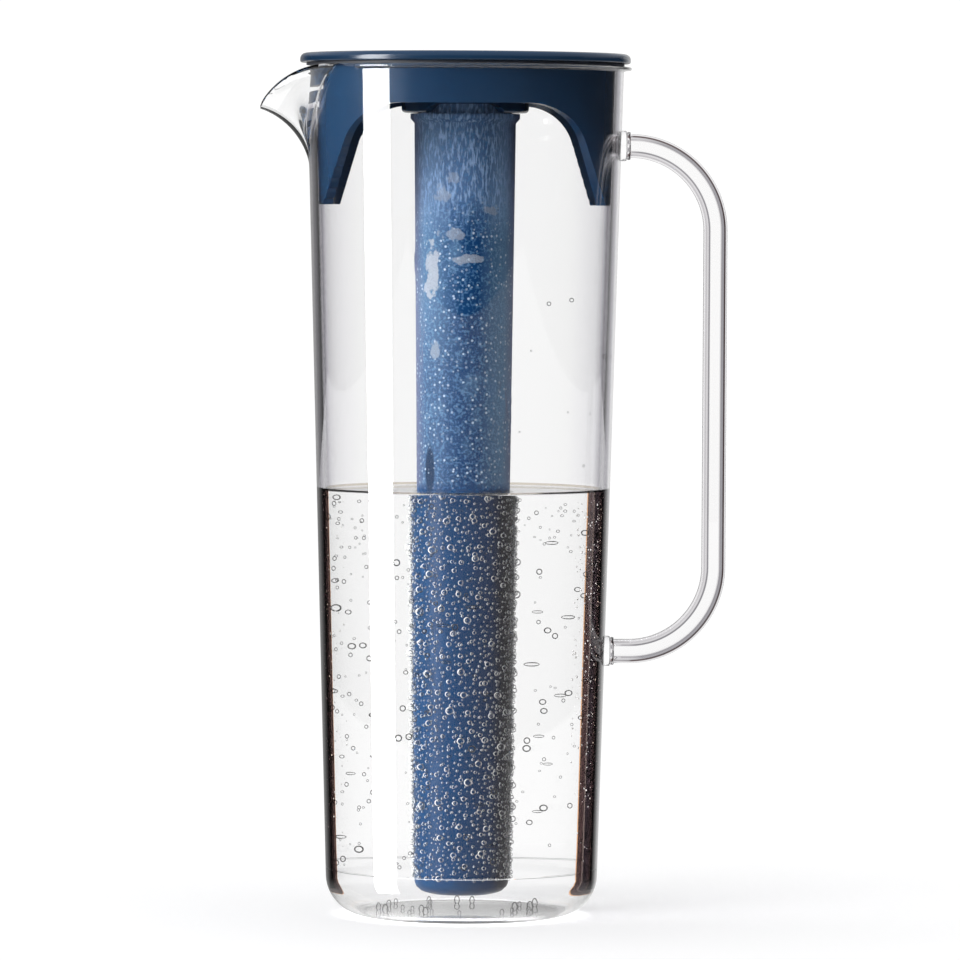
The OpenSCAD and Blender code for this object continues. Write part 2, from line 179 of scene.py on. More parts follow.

# How far the drink's face turns from the eye where its dark bands begin, on either side, and where they end.
# The bands are painted shade inside the drink's edges.
BAND_LEFT = 0.242
BAND_RIGHT = 0.2
BAND_END = 0.262

# The backdrop's brightness, and the shares of it that mirrored rays see. They see most of it behind the
# pitcher and steeply above or below it, and these directions fade in between the two limits of each pair.
BACKDROP = 1.05
GLOSS_SHARE = 0.015
GLOSS_BEHIND_LEFT = 0.35
GLOSS_BEHIND_RIGHT = 0.9
GLOSS_ABOVE = 0.8
BEHIND_Y = (0.82, 0.94)
BEHIND_X = (-0.2, 0.2)
ABOVE_STEEP = (0.12, 0.4)
FLOOR_GLOSS_SHARE = 0.75
AMBIENT = 0.44

# The floor glows most under the base, painted light that lifts the shade under the jug, and less round it,
# and fades to the backdrop's white
FLOOR_HALF_W = 3.0
FLOOR_GLOW_UNDER = 1.2
FLOOR_GLOW_NEAR = 0.4
FLOOR_GLOW_R = 36 * MM
FLOOR_GLOW_END_R = 46 * MM
FLOOR_FADE_FROM = 90 * MM
FLOOR_FADE_TO = 300 * MM

# The camera and the lamps
CAMERA_PLACE = (0.0053, -2.4, 0.248)
CAMERA_TURNS = (math.radians(90 - 2.29), math.radians(-0.3), 0)
CAMERA_LENS_MM = 257.9
LAMP_TARGET = (0, 0, 0.17)


def outer_r(z):
    """Radius of the jug's outer wall at height z, away from the spout."""
    return BASE_R + TAPER * z


def inner_r(z):
    return outer_r(z) - WALL


def core_r(z):
    """Radius of the core's tube at height z."""
    return CORE_LOW_R + (CORE_R - CORE_LOW_R) * (z - CORE_LOW_Z) / (TUBE_TOP_Z - CORE_LOW_Z)


# Meshes


def add_object(name, data):
    thing = bpy.data.objects.new(name, data)
    bpy.context.scene.collection.objects.link(thing)
    return thing


def mesh_object(name, points, faces):
    mesh = bpy.data.meshes.new(name)
    mesh.from_pydata([tuple(p) for p in points], [], faces)
    mesh.update()
    return add_object(name, mesh)


def evaluated_mesh(thing):
    graph = bpy.context.evaluated_depsgraph_get()
    graph.update()
    return bpy.data.meshes.new_from_object(thing.evaluated_get(graph))


def combine(thing, other, operation):
    """Joins another closed object to a thing, or cuts it away from it; the other one goes."""
    modifier = thing.modifiers.new("combine", "BOOLEAN")
    modifier.operation = operation
    modifier.solver = "EXACT"
    modifier.object = other
    mesh = evaluated_mesh(thing)
    thing.modifiers.remove(modifier)
    thing.data = mesh
    bpy.data.objects.remove(other)


def weld(mesh, dist, outwards=False):
    """Joins points that are no further apart than dist, and may point all faces outwards."""
    build = bmesh.new()
    build.from_mesh(mesh)
    bmesh.ops.remove_doubles(build, verts=build.verts, dist=dist)
    if outwards:
        bmesh.ops.recalc_face_normals(build, faces=build.faces)
    build.to_mesh(mesh)
    build.free()


def shade(mesh, sharp_deg):
    """Smooth shading, with edges sharper than sharp_deg kept."""
    mesh.shade_smooth()
    mesh.set_sharp_from_angle(angle=math.radians(sharp_deg))


def smooth(thing, sharp_deg=35):
    weld(thing.data, WELD_DIST, outwards=True)
    shade(thing.data, sharp_deg)
    return thing


def strip_faces(rows, count, closed=True):
    """Four-sided faces between rows of count points each. A closed strip also joins a row's ends."""
    faces = []
    for row in range(rows - 1):
        low, high = row * count, (row + 1) * count
        for i in range(count if closed else count - 1):
            j = (i + 1) % count
            faces.append((low + i, low + j, high + j, high + i))
    return faces


def capped_faces(rows, count):
    """A closed strip's faces, with one more face over either end."""
    last = (rows - 1) * count
    return strip_faces(rows, count) + [tuple(range(count)), tuple(range(last, last + count))]


def even_angles(count):
    return [2 * math.pi * i / count for i in range(count)]


def turned(name, angles, rings, closed=True):
    """A surface of rings round the axis, each a radius and a height that may differ from angle to angle."""
    count = len(angles)
    points = []
    for radius, height in rings:
        radius = np.broadcast_to(radius, count)
        height = np.broadcast_to(height, count)
        points += [(r * math.cos(a), r * math.sin(a), z) for r, z, a in zip(radius, height, angles)]
    faces = strip_faces(len(rings), count)
    for row in (0, len(rings) - 1) if closed else ():
        middle = len(points)
        points.append((0, 0, points[row * count][2]))
        faces += [(row * count + i, row * count + (i + 1) % count, middle) for i in range(count)]
    return mesh_object(name, points, faces)


def edge_rings(edge_x, edge_z, edge_r, last, steps):
    """The rings round a lower edge, from straight below its middle to the last angle."""
    angles = [last * step / steps for step in range(steps + 1)]
    return [(edge_x + edge_r * math.sin(a), edge_z - edge_r * math.cos(a)) for a in angles]


def vessel_rings(inset, low_z, edge_r):
    """The rings from the middle of a base, or floor, round its edge to where the wall begins."""
    edge_z = low_z + edge_r
    edge_x = outer_r(edge_z) - inset - edge_r * LEAN
    rings = [(edge_x * share, low_z) for share in (0.1, 0.4, 0.7, 0.9)]
    return rings + edge_rings(edge_x, edge_z, edge_r, math.pi / 2 - math.atan(TAPER), 14)


# The jug, with its spout


def nose(across):
    """The spout's reach across its width: 1 at the keel and 0 at the sides, where it meets the wall."""
    soft = SPOUT_KEEL_SHARE
    share = (np.sqrt(across**2 + soft**2) - soft) / (math.sqrt(1 + soft**2) - soft)
    return (1 - share) ** 2


def rise_share(across, half_angle):
    """How much higher than at its keel the spout's wall rises at a place across its width."""
    top_r = RIM_R - SPOUT_SINK + (SPOUT_REACH + SPOUT_SINK) * nose(across)
    beyond = np.clip(top_r * np.cos(across * half_angle) - SPOUT_EDGE_X, 0, SPOUT_EDGE_R)
    edge_z = SPOUT_EDGE_Z + np.sqrt(SPOUT_EDGE_R**2 - beyond**2) + SPOUT_SINK
    keel = RIM_R + SPOUT_REACH - SPOUT_EDGE_X
    keel_z = SPOUT_EDGE_Z + math.sqrt(SPOUT_EDGE_R**2 - keel**2) + SPOUT_SINK
    return (edge_z - SPOUT_LOW_Z) / (keel_z - SPOUT_LOW_Z)


def halved(low, high, steps, is_low):
    """For each angle, the highest number between low and high that passes the test, found by halving."""
    for _ in range(steps):
        middle = (low + high) / 2
        passed = is_low(middle)
        low = np.where(passed, middle, low)
        high = np.where(passed, high, middle)
    return low


def spouted(z, angles, inset, rise, half_angle):
    """Radius of the wall that lies inset from the outer one, with the spout's nose, at heights z."""
    depth = SPOUT_CURVE + inset + SPOUT_SINK
    last = math.acos(1 - (SPOUT_REACH + inset + SPOUT_SINK) / depth)
    z = np.broadcast_to(z, len(angles)).astype(float)
    off = np.abs(angles - math.pi)

    def across_at(turn):
        width = SPOUT_NARROW_SHARE + (1 - SPOUT_NARROW_SHARE) * np.sin(turn / 2) / math.sin(last / 2)
        return np.clip(off / (half_angle * width), 0, 1)

    def below(turn):
        return SPOUT_LOW_Z + rise * rise_share(across_at(turn), half_angle) * np.sin(turn) < z

    turn = halved(np.zeros(len(angles)), np.full(len(angles), last), 36, below)
    across = across_at(turn)
    lift = depth * (1 - np.cos(turn)) * nose(across) - SPOUT_SINK
    soft = (lift + np.sqrt(lift**2 + SPOUT_SOFT**2)) / 2
    still = (math.hypot(SPOUT_SINK, SPOUT_SOFT) - SPOUT_SINK) / 2
    return outer_r(z) - inset + np.where(across < 1, soft - still, 0)


def outer_face(z, angles):
    return spouted(z, angles, 0, SPOUT_RISE, SPOUT_HALF_ANGLE)


def inner_face(z, angles):
    face = spouted(z, angles, WALL, SPOUT_INNER_RISE, SPOUT_HALF_ANGLE * SPOUT_INNER_SHARE)
    return np.minimum(face, outer_face(z, angles) - SPOUT_THIN)


def top_heights(face, angles):
    """Height of the rim on that face at each angle, where the spout's edge falls away in an arc."""

    def room(z):
        beyond = np.clip(-face(z, angles) * np.cos(angles) - SPOUT_EDGE_X, 0, SPOUT_EDGE_R)
        return SPOUT_EDGE_Z + np.sqrt(SPOUT_EDGE_R**2 - beyond**2) - z

    high = np.full(len(angles), JUG_H)
    low = np.where(room(high) > 0, high, SPOUT_LOW_Z)
    return halved(low, high, 40, lambda z: room(z) > 0)


def lip_share(angles):
    """1 round the rim, fading to 0 beside the spout."""
    past = np.abs(angles - math.pi) - SPOUT_HALF_ANGLE
    t = np.clip(past / (LIP_FULL_ANGLE - SPOUT_HALF_ANGLE), 0, 1)
    return t * t * (3 - 2 * t)


def outer_rings(angles, top):
    """The jug's outer face, from its base to the end of its lip."""
    rings = vessel_rings(0, 0, BASE_EDGE_R)

    def wall(z, depth=0):
        rings.append((outer_face(z, angles) - depth, z))

    half = MOULD_LINE_W / 2
    for share, depth in ((-1, 0), (-0.6, MOULD_LINE_DEPTH), (0.6, MOULD_LINE_DEPTH), (1, 0)):
        wall(MOULD_LINE_Z + share * half, depth)
    for z in np.linspace(MOULD_LINE_Z + WALL_MARGIN, SPOUT_LOW_Z - WALL_MARGIN, WALL_STEPS):
        wall(z)
    for turn in np.linspace(0, SPOUT_LAST_TURN, SPOUT_STEPS):
        wall(SPOUT_LOW_Z + SPOUT_RISE * math.sin(turn))

    # From here, heights are counted away from the spout, and squeezed where the spout's rim dips
    last_z = SPOUT_LOW_Z + SPOUT_RISE * math.sin(SPOUT_LAST_TURN)
    lip_z = JUG_H - RIM_STEP - LIP_T
    edge = LIP_T / 2
    lip = [(z, 0) for z in np.linspace(last_z + 1 * MM, lip_z - LIP_TAPER_H, RIM_STEPS)]
    lip += [(lip_z, LIP_TAPER_OUT), (lip_z, LIP_OUT - edge)]
    for a in np.linspace(-70, 90, 9):
        a = math.radians(a)
        lip.append((lip_z + edge + edge * math.sin(a), LIP_OUT - edge + edge * math.cos(a)))
    lip.append((JUG_H - RIM_STEP, 0.02 * MM))
    share = lip_share(angles)
    for z, out in lip:
        height = last_z + (top - last_z) * (z - last_z) / (JUG_H - last_z)
        rings.append((outer_face(height, angles) + out * share, height))
    return rings


def inner_rings(angles, top, highest):
    """The jug's inner face, from under the rim to the middle of its floor, with no ring above the highest."""
    rings = []
    last_z = SPOUT_LOW_Z + SPOUT_INNER_RISE * math.sin(SPOUT_INNER_LAST_TURN)
    for z in np.linspace(JUG_H - 1 * MM, last_z + 1 * MM, RIM_STEPS):
        height = last_z + (top - last_z) * (z - last_z) / (JUG_H - last_z)
        height = np.minimum(np.maximum(height, last_z + 0.02 * MM), highest)
        rings.append((inner_face(height, angles), height))
    for turn in np.linspace(SPOUT_INNER_LAST_TURN, 0, SPOUT_STEPS):
        z = SPOUT_LOW_Z + SPOUT_INNER_RISE * math.sin(turn)
        height = np.minimum(z, highest - 0.01 * MM)
        rings.append((inner_face(height, angles), height))
    for z in np.linspace(SPOUT_LOW_Z - WALL_MARGIN, WALL_START_Z, WALL_STEPS):
        rings.append((inner_face(z, angles), z))
    rings += reversed(vessel_rings(WALL, FLOOR_T, BASE_EDGE_R - WALL))
    return rings


def build_jug():
    # Half a degree apart round the spout, and one and a half elsewhere
    near = [math.radians(180 + 0.5 * i) for i in range(-100, 100)]
    far = [math.radians((230 + 1.5 * i) % 360) for i in range(174)]
    angles = np.array(sorted(near + far))
    outer_top = top_heights(outer_face, angles)
    inner_top = top_heights(inner_face, angles)
    outer_r_top = outer_face(outer_top, angles)
    inner_r_top = inner_face(inner_top, angles)
    bevel = np.minimum(RIM_BEVEL, RIM_BEVEL_SHARE * (outer_r_top - inner_r_top))
    rim = [
        (outer_r_top - 0.25 * bevel, outer_top - 0.25 * bevel),
        (outer_r_top - bevel, outer_top),
        (inner_r_top + bevel, inner_top),
        (inner_r_top + 0.25 * bevel, inner_top - 0.25 * bevel),
    ]
    rings = outer_rings(angles, outer_top) + rim + inner_rings(angles, inner_top, inner_top - 0.3 * bevel)
    jug = smooth(turned("jug_shell", angles, rings))
    for z in (ARM_TOP_Z, ARM_LOW_Z):
        combine(jug, boss(z), "UNION")
    return smooth(jug)


def boss(z):
    """A boss for the handle, with a rounded edge, from inside the wall outwards."""
    face_x = outer_r(z) + BOSS_OUT
    inside_x = inner_r(z) + WALL / 2
    edge = 0.4 * MM
    hole = 0.01 * MM
    outline = [(hole, face_x), (BOSS_R - edge, face_x), (BOSS_R - 0.3 * edge, face_x - 0.3 * edge)]
    outline += [(BOSS_R, face_x - edge), (BOSS_R, inside_x), (hole, inside_x)]
    angles = even_angles(64)
    points = [(x, r * math.cos(a), z + r * math.sin(a)) for r, x in outline for a in angles]
    return smooth(mesh_object("boss", points, capped_faces(len(outline), len(angles))))


# The handle


def square_section(half, edge_r, count):
    """Points round a square with rounded edges, by angle."""
    points = []
    corner = half - edge_r
    for a in even_angles(count):
        c, s = math.cos(a), math.sin(a)
        reach = half / max(abs(c), abs(s))
        x, y = reach * c, reach * s
        if abs(x) > corner and abs(y) > corner:
            mx, my = math.copysign(corner, x), math.copysign(corner, y)
            along = mx * c + my * s
            reach = along + math.sqrt(along**2 - (mx**2 + my**2) + edge_r**2)
            x, y = reach * c, reach * s
        points.append((x, y))
    return points


def handle_path():
    """Where the upper and the lower foot begin, and the rod's middle line with the way along it."""
    top_x = outer_r(ARM_TOP_Z) + BOSS_OUT + BOND_GAP
    low_x = outer_r(ARM_LOW_Z) + BOSS_OUT + BOND_GAP
    bend_x = GRIP_X - BEND_R
    steps = 32
    path = []

    def bend(angles, z):
        for a in angles:
            c, s = math.cos(a), math.sin(a)
            path.append((bend_x + BEND_R * c, z + BEND_R * s, s, -c))

    for x in np.linspace(top_x + FOOT_T, bend_x, 3)[:-1]:
        path.append((x, ARM_TOP_Z, 1, 0))
    bend([math.pi / 2 * (1 - i / steps) for i in range(steps + 1)], ARM_TOP_Z - BEND_R)
    for z in np.linspace(ARM_TOP_Z - BEND_R, ARM_LOW_Z + BEND_R, 12)[1:-1]:
        path.append((GRIP_X, z, 0, -1))
    bend([-math.pi / 2 * i / steps for i in range(steps + 1)], ARM_LOW_Z + BEND_R)
    for x in np.linspace(bend_x, low_x + FOOT_T, 3)[1:]:
        path.append((x, ARM_LOW_Z, -1, 0))
    return top_x, low_x, path


def build_handle():
    count = 64
    square = square_section(ROD_W / 2, ROD_EDGE_R, count)
    top_x, low_x, path = handle_path()
    edge = 0.3 * MM

    def disc(r):
        return [(r * math.cos(a), r * math.sin(a)) for a in even_angles(count)]

    foot = [
        (0, FOOT_R - edge),
        (edge * 0.6, FOOT_R),
        (FOOT_T - edge, FOOT_R),
        (FOOT_T - 0.02 * MM, FOOT_R - 0.2 * MM),
    ]
    stations = [(top_x + out, ARM_TOP_Z, 1, 0, disc(r)) for out, r in foot]
    stations += [(x, z, along_x, along_z, square) for x, z, along_x, along_z in path]
    stations += [(low_x + out, ARM_LOW_Z, -1, 0, disc(r)) for out, r in reversed(foot)]
    points = []
    for x, z, along_x, along_z, section in stations:
        points += [(x - along_z * u, v, z + along_x * u) for u, v in section]
    return smooth(mesh_object("handle_rod", points, capped_faces(len(stations), count)), 50)


# The core's cold skin


def clamped(value):
    return min(max(value, 0), 1)


def ice_patch(x, y, z):
    """How thick the ice is at a point of the tube, from 0 to 1: long runs between the drink and the lid."""
    broad = noise.fractal(Vector((x * 75, y * 75, z * 26)), 0.6, 2.1, 4)
    fine = noise.noise(Vector((x * 260, y * 260, z * 90)))
    rising = clamped((z - WATER_Z - 6 * MM) / (25 * MM))
    fading = clamped((256 * MM - z) / (30 * MM))
    return clamped((broad + 0.35 * fine - 0.34) / 0.5) * (rising * fading)


def core_rings():
    """Rings of the tube's face, from its middle below to its shoulder."""
    lean = math.hypot(1, (CORE_R - CORE_LOW_R) / (TUBE_TOP_Z - CORE_LOW_Z))
    edge_z = CORE_LOW_Z + CORE_EDGE_R
    edge_x = core_r(edge_z) - CORE_EDGE_R * lean
    rings = [(edge_x * share, CORE_LOW_Z) for share in (0.1, 0.5, 0.9)]
    rings += edge_rings(edge_x, edge_z, CORE_EDGE_R, math.pi / 2, 10)
    for z in np.arange(edge_z + 2 * MM, TUBE_TOP_Z - 1 * MM, 1 * MM):
        rings.append((core_r(z), float(z)))
    rings.append((CORE_R, TUBE_TOP_Z))
    rings.append((SHOULDER_R, SHOULDER_LOW_Z))
    rings.append((SHOULDER_R, SHOULDER_TOP_Z - 0.1 * MM))
    return rings


def build_core_skin():
    """A thin shell over the tube, raised where ice has grown on it."""
    angles = even_angles(144)
    rings = []
    for r, z in core_rings():
        iced = CORE_LOW_Z + 9 * MM < z < TUBE_TOP_Z
        thick = [
            SKIN_T + ICE_T * ice_patch(r * math.cos(a), r * math.sin(a), z) if iced else SKIN_T
            for a in angles
        ]
        rings.append((r + np.array(thick), z - SKIN_T if z <= CORE_LOW_Z else z))
    inside = [(r + 0.02 * MM, z) for r, z in core_rings()]
    return smooth(turned("core_skin", angles, rings + inside[::-1]), 60)


# The drink


def build_water():
    overlap = WATER_OVERLAP
    rings = vessel_rings(WALL - overlap, FLOOR_T - overlap, BASE_EDGE_R - WALL + overlap)
    for z in np.linspace(WALL_START_Z, WATER_Z - WALL_MARGIN, 16):
        rings.append((inner_r(z) + overlap, z))
    top_z = WATER_Z + MENISCUS_H
    rings.append((inner_r(top_z) + overlap, top_z))
    for step in range(1, 9):
        a = math.pi / 2 * step / 8
        out = math.sin(a)
        rings.append((inner_r(top_z) - MENISCUS_W * out, WATER_Z + MENISCUS_H * (1 - out) ** 1.6))
    rings += [(r * MM, WATER_Z) for r in (44, 36, 28, 20, 8)]
    return smooth(turned("drink", even_angles(192), rings), 60)


# Nodes


def feed(tree, node, inputs):
    """Sets a node's inputs, by name or number, to plain values, or links them to other nodes' sockets."""
    for name, value in inputs.items():
        if isinstance(value, bpy.types.NodeSocket):
            tree.links.new(value, node.inputs[name])
        else:
            node.inputs[name].default_value = value


def add_node(tree, kind, inputs, **settings):
    """A new node, with its settings made before its inputs are."""
    node = tree.nodes.new(kind)
    for name, value in settings.items():
        setattr(node, name, value)
    feed(tree, node, inputs)
    return node


def math_node(tree, operation, first, *others):
    """Sockets and numbers joined by an operation, one after another, as a socket."""
    for other in others:
        first = add_node(tree, "ShaderNodeMath", {0: first, 1: other}, operation=operation).outputs[0]
    return first


def product(tree, *factors):
    return math_node(tree, "MULTIPLY", *factors)


def rest_to_one(tree, value):
    return math_node(tree, "SUBTRACT", 1.0, value)


def vector_node(tree, operation, inputs):
    return add_node(tree, "ShaderNodeVectorMath", inputs, operation=operation).outputs


# Bubbles and drops


def scatter_tree():
    """Sets beads on the faces that it gets, sunk into them or standing off, in sizes from small to large."""
    tree = bpy.data.node_groups.new("Scatter beads", "GeometryNodeTree")
    for kind, names in (
        ("Geometry", ["Geometry"]),
        ("Float", ["Spacing", "Density", "Smallest", "Largest", "Rarity", "Stand off"]),
        ("Int", ["Detail", "Seed"]),
        ("Vector", ["Stretch"]),
        ("Material", ["Material"]),
    ):
        for name in names:
            tree.interface.new_socket(name, in_out="INPUT", socket_type="NodeSocket" + kind)
    tree.interface.new_socket("Geometry", in_out="OUTPUT", socket_type="NodeSocketGeometry")
    given = tree.nodes.new("NodeGroupInput").outputs

    points = add_node(tree, "GeometryNodeDistributePointsOnFaces", {
        "Mesh": given["Geometry"],
        "Distance Min": given["Spacing"],
        "Density Max": given["Density"],
        "Seed": given["Seed"],
    }, distribute_method="POISSON")
    chance = add_node(tree, "FunctionNodeRandomValue", {"Seed": given["Seed"]}, data_type="FLOAT")
    size = add_node(tree, "ShaderNodeMapRange", {
        "Value": math_node(tree, "POWER", chance.outputs[1], given["Rarity"]),
        "To Min": given["Smallest"],
        "To Max": given["Largest"],
    }).outputs["Result"]
    away = product(tree, size, given["Stand off"])
    moved = add_node(tree, "GeometryNodeSetPosition", {
        "Geometry": points.outputs["Points"],
        "Offset": vector_node(tree, "SCALE", {0: points.outputs["Normal"], "Scale": away})[0],
    })
    bead = add_node(tree, "GeometryNodeMeshIcoSphere", {"Radius": 1, "Subdivisions": given["Detail"]})
    placed = add_node(tree, "GeometryNodeInstanceOnPoints", {
        "Points": moved.outputs["Geometry"],
        "Instance": bead.outputs["Mesh"],
        "Scale": vector_node(tree, "SCALE", {0: given["Stretch"], "Scale": size})[0],
    })
    real = add_node(tree, "GeometryNodeRealizeInstances", {"Geometry": placed.outputs["Instances"]})
    shaded = add_node(tree, "GeometryNodeSetShadeSmooth", {"Geometry": real.outputs["Geometry"]})
    painted = add_node(tree, "GeometryNodeSetMaterial", {
        "Geometry": shaded.outputs["Geometry"],
        "Material": given["Material"],
    })
    add_node(tree, "NodeGroupOutput", {"Geometry": painted.outputs["Geometry"]})
    return tree


def sleeve(radius, low_z, high_z, start_deg, end_deg, inward=False):
    """An open band of faces round the axis, to scatter beads on."""
    columns, rows = 49, 25
    across = np.radians(np.linspace(start_deg, end_deg, columns))
    heights = np.linspace(low_z, high_z, rows)
    points = [(radius(z) * math.cos(a), radius(z) * math.sin(a), z) for z in heights for a in across]
    faces = strip_faces(rows, columns, closed=False)
    if inward:
        faces = [face[::-1] for face in faces]
    return mesh_object("sleeve", points, faces)


def scatter(
    tree, base, material, seed, *, spacing, density, sizes, rarity, stand_off=0.7, detail=2, stretch=(1, 1, 1)
):
    """Beads on the base's faces, as a plain mesh that takes its place.

    The spacing and the sizes, the smallest and the largest radius, are in millimetres. A high rarity makes
    large beads rare. Stand off is the share of its size by which a bead's middle lies off the face.
    """
    modifier = base.modifiers.new("beads", "NODES")
    modifier.node_group = tree
    values = {
        "Spacing": spacing * MM, "Density": density, "Smallest": sizes[0] * MM, "Largest": sizes[1] * MM,
        "Rarity": rarity, "Stand off": stand_off, "Detail": detail, "Seed": seed, "Stretch": stretch,
        "Material": material,
    }
    for item in tree.interface.items_tree:
        if item.in_out == "INPUT" and item.name in values:
            modifier[item.identifier] = values[item.name]
    mesh = evaluated_mesh(base)
    base.modifiers.remove(modifier)
    base.data = mesh
    return base


def joined(name, things):
    """One object of several, under a new name."""
    build = bmesh.new()
    for thing in things:
        build.from_mesh(thing.data)
    mesh = bpy.data.meshes.new(name)
    build.to_mesh(mesh)
    build.free()
    for material in dict.fromkeys(m for thing in things for m in thing.data.materials):
        mesh.materials.append(material)
    for thing in things:
        bpy.data.objects.remove(thing)
    mesh.shade_smooth()
    return add_object(name, mesh)


# Materials


def new_material(name, inputs=None):
    """A material of one shader, with its inputs."""
    material = bpy.data.materials.new(name)
    material.use_nodes = True
    tree = material.node_tree
    tree.nodes.clear()
    shader = add_node(tree, "ShaderNodeBsdfPrincipled", inputs or {})
    add_node(tree, "ShaderNodeOutputMaterial", {"Surface": shader.outputs[0]})
    return material, tree, shader


def set_surface(tree, shader_socket):
    feed(tree, tree.nodes["Material Output"], {"Surface": shader_socket})


def mixed_shader(tree, factor, first, second):
    return add_node(tree, "ShaderNodeMixShader", {0: factor, 1: first, 2: second}).outputs[0]


def mixed_colour(tree, factor, first, second, blend="MIX"):
    """A mix of two colours, each given or a socket, by a factor."""
    first, second = [(*colour, 1) if isinstance(colour, tuple) else colour for colour in (first, second)]
    inputs = {"Factor": factor, "A": first, "B": second}
    return add_node(tree, "ShaderNodeMix", inputs, data_type="RGBA", blend_type=blend).outputs["Result"]


def mixed_value(tree, factor, first, second):
    inputs = {"Factor": factor, "A": first, "B": second}
    return add_node(tree, "ShaderNodeMix", inputs, data_type="FLOAT").outputs["Result"]


def ranged(tree, value, low, high, to_low=0.0, to_high=1.0):
    """A value socket brought from low..high to another range."""
    inputs = {"Value": value, "From Min": low, "From Max": high, "To Min": to_low, "To Max": to_high}
    return add_node(tree, "ShaderNodeMapRange", inputs).outputs["Result"]


def colour_ramp(tree, value, stops):
    """A ramp of colours over a value socket; a stop is its place and colour, and the end ones reach on."""
    ramp = add_node(tree, "ShaderNodeValToRGB", {0: value})
    elements = ramp.color_ramp.elements
    while len(elements) < len(stops):
        elements.new(0.5)
    for element, (place, colour) in zip(elements, stops):
        element.position = place
        element.color = (*colour, 1)
    return ramp.outputs[0]


def object_place(tree):
    return tree.nodes.new("ShaderNodeTexCoord").outputs["Object"]


def parts_of(tree, vector):
    """The X, Y and Z of a vector socket, by name."""
    return add_node(tree, "ShaderNodeSeparateXYZ", {0: vector}).outputs


def normal_parts(tree):
    return parts_of(tree, tree.nodes.new("ShaderNodeNewGeometry").outputs["Normal"])


def levelness(tree):
    """0 on upright faces and 1 on level ones."""
    return math_node(tree, "ABSOLUTE", normal_parts(tree)["Z"], 0.0)


def upright_share(tree, level):
    """1 on upright faces and 0 on faces that lean or lie, from how level they are."""
    return ranged(tree, level, 0.25, 0.5, 1, 0)


def length_of(tree, vector):
    return vector_node(tree, "LENGTH", {0: vector})["Value"]


def object_noise(tree, scale, detail=3, stretch=(1, 1, 1)):
    """Noise on object coordinates, as its value socket."""
    mapping = add_node(tree, "ShaderNodeMapping", {"Vector": object_place(tree), "Scale": stretch})
    inputs = {"Vector": mapping.outputs["Vector"], "Scale": scale, "Detail": detail}
    return add_node(tree, "ShaderNodeTexNoise", inputs).outputs["Fac"]


def bumped(tree, shader, height, strength, distance):
    bump = add_node(tree, "ShaderNodeBump", {"Strength": strength, "Distance": distance, "Height": height})
    feed(tree, shader, {"Normal": bump.outputs["Normal"]})


def facing(tree):
    """0 where a face looks at the eye, and up to 1 where it turns edge on."""
    return add_node(tree, "ShaderNodeLayerWeight", {"Blend": 0.5}).outputs["Facing"]


def clear_material(name, ior, shadow_tint):
    """Clear plastic or liquid. Rays from lamps go straight through, tinted, so that what is inside is lit."""
    inputs = {"Transmission Weight": 1, "IOR": ior, "Roughness": 0}
    material, tree, shader = new_material(name, inputs)
    path = tree.nodes.new("ShaderNodeLightPath").outputs
    clear = add_node(tree, "ShaderNodeBsdfTransparent", {"Color": (*shadow_tint, 1)})
    set_surface(tree, mixed_shader(tree, path["Is Shadow Ray"], shader.outputs[0], clear.outputs[0]))
    return material, tree, shader


def acrylic_material():
    """Clear acrylic with painted lines at its upright edges: lilac-grey painted shade above the drink,
    near-black painted shade where the drink is behind.
    """
    # Painted shade: edge lines coloured by how far an upright face turns from the eye, in place of the dark
    # surroundings that its edges would show
    dry_painted_edge_stops = (
        (0.3, WHITE),
        (0.4, (0.98, 0.975, 0.99)),
        (0.6, (0.95, 0.945, 0.97)),
        (0.66, (0.8, 0.79, 0.83)),
        (0.74, (0.42, 0.40, 0.46)),
        (0.78, (0.24, 0.23, 0.27)),
        (0.83, (0.55, 0.53, 0.58)),
        (1.0, (0.8, 0.79, 0.84)),
    )
    wet_painted_edge_stops = (
        (0.6, WHITE),
        (0.66, (0.9, 0.6, 0.4)),
        (0.69, (0.03, 0.015, 0.015)),
        (0.95, (0.012, 0.006, 0.007)),
        (0.98, (0.4, 0.3, 0.26)),
        (1.0, (0.8, 0.72, 0.66)),
    )
    material, tree, shader = clear_material("Clear acrylic", ACRYLIC_IOR, ACRYLIC_SHADOW)
    shown = product(tree, facing(tree), upright_share(tree, levelness(tree)))
    below = ranged(tree, parts_of(tree, object_place(tree))["Z"], WATER_Z + 1 * MM, WATER_Z)
    dry, wet_and_shaded = colour_ramp(tree, shown, dry_painted_edge_stops), colour_ramp(tree, shown, wet_painted_edge_stops)
    feed(tree, shader, {"Base Color": mixed_colour(tree, below, dry, wet_and_shaded)})
    return material


def handle_material():
    """Clear acrylic rod with painted dark lines along its rounded edges, painted shade for the dark
    surroundings that they would show, and painted darker on its outer side.
    """

    def lines(strong, soft, edge):
        return (
            (0.003, (0.99, 0.985, 0.985)),
            (0.008, soft),
            (0.035, soft),
            (0.07, (0.99, 0.985, 0.99)),
            (0.14, (0.96, 0.95, 0.96)),
            (0.19, strong),
            (0.34, strong),
            (0.42, (0.8, 0.79, 0.8)),
            (1.0, edge),
        )

    material, tree, shader = clear_material("Clear acrylic rod", ACRYLIC_IOR, ACRYLIC_SHADOW)
    # Painted shade: dark lines by how far a face turns edge on
    turn = facing(tree)
    inner = colour_ramp(tree, turn, lines((0.62, 0.6, 0.62), (0.12, 0.115, 0.13), (0.62, 0.6, 0.62)))
    outer = colour_ramp(tree, turn, lines((0.03, 0.015, 0.015), (0.7, 0.68, 0.7), (0.3, 0.28, 0.3)))
    # Painted shade: the side facing +X, away from the jug, gets the darker lines
    side = ranged(tree, normal_parts(tree)["X"], -0.02, 0.02)
    feed(tree, shader, {"Base Color": mixed_colour(tree, side, inner, outer)})
    return material


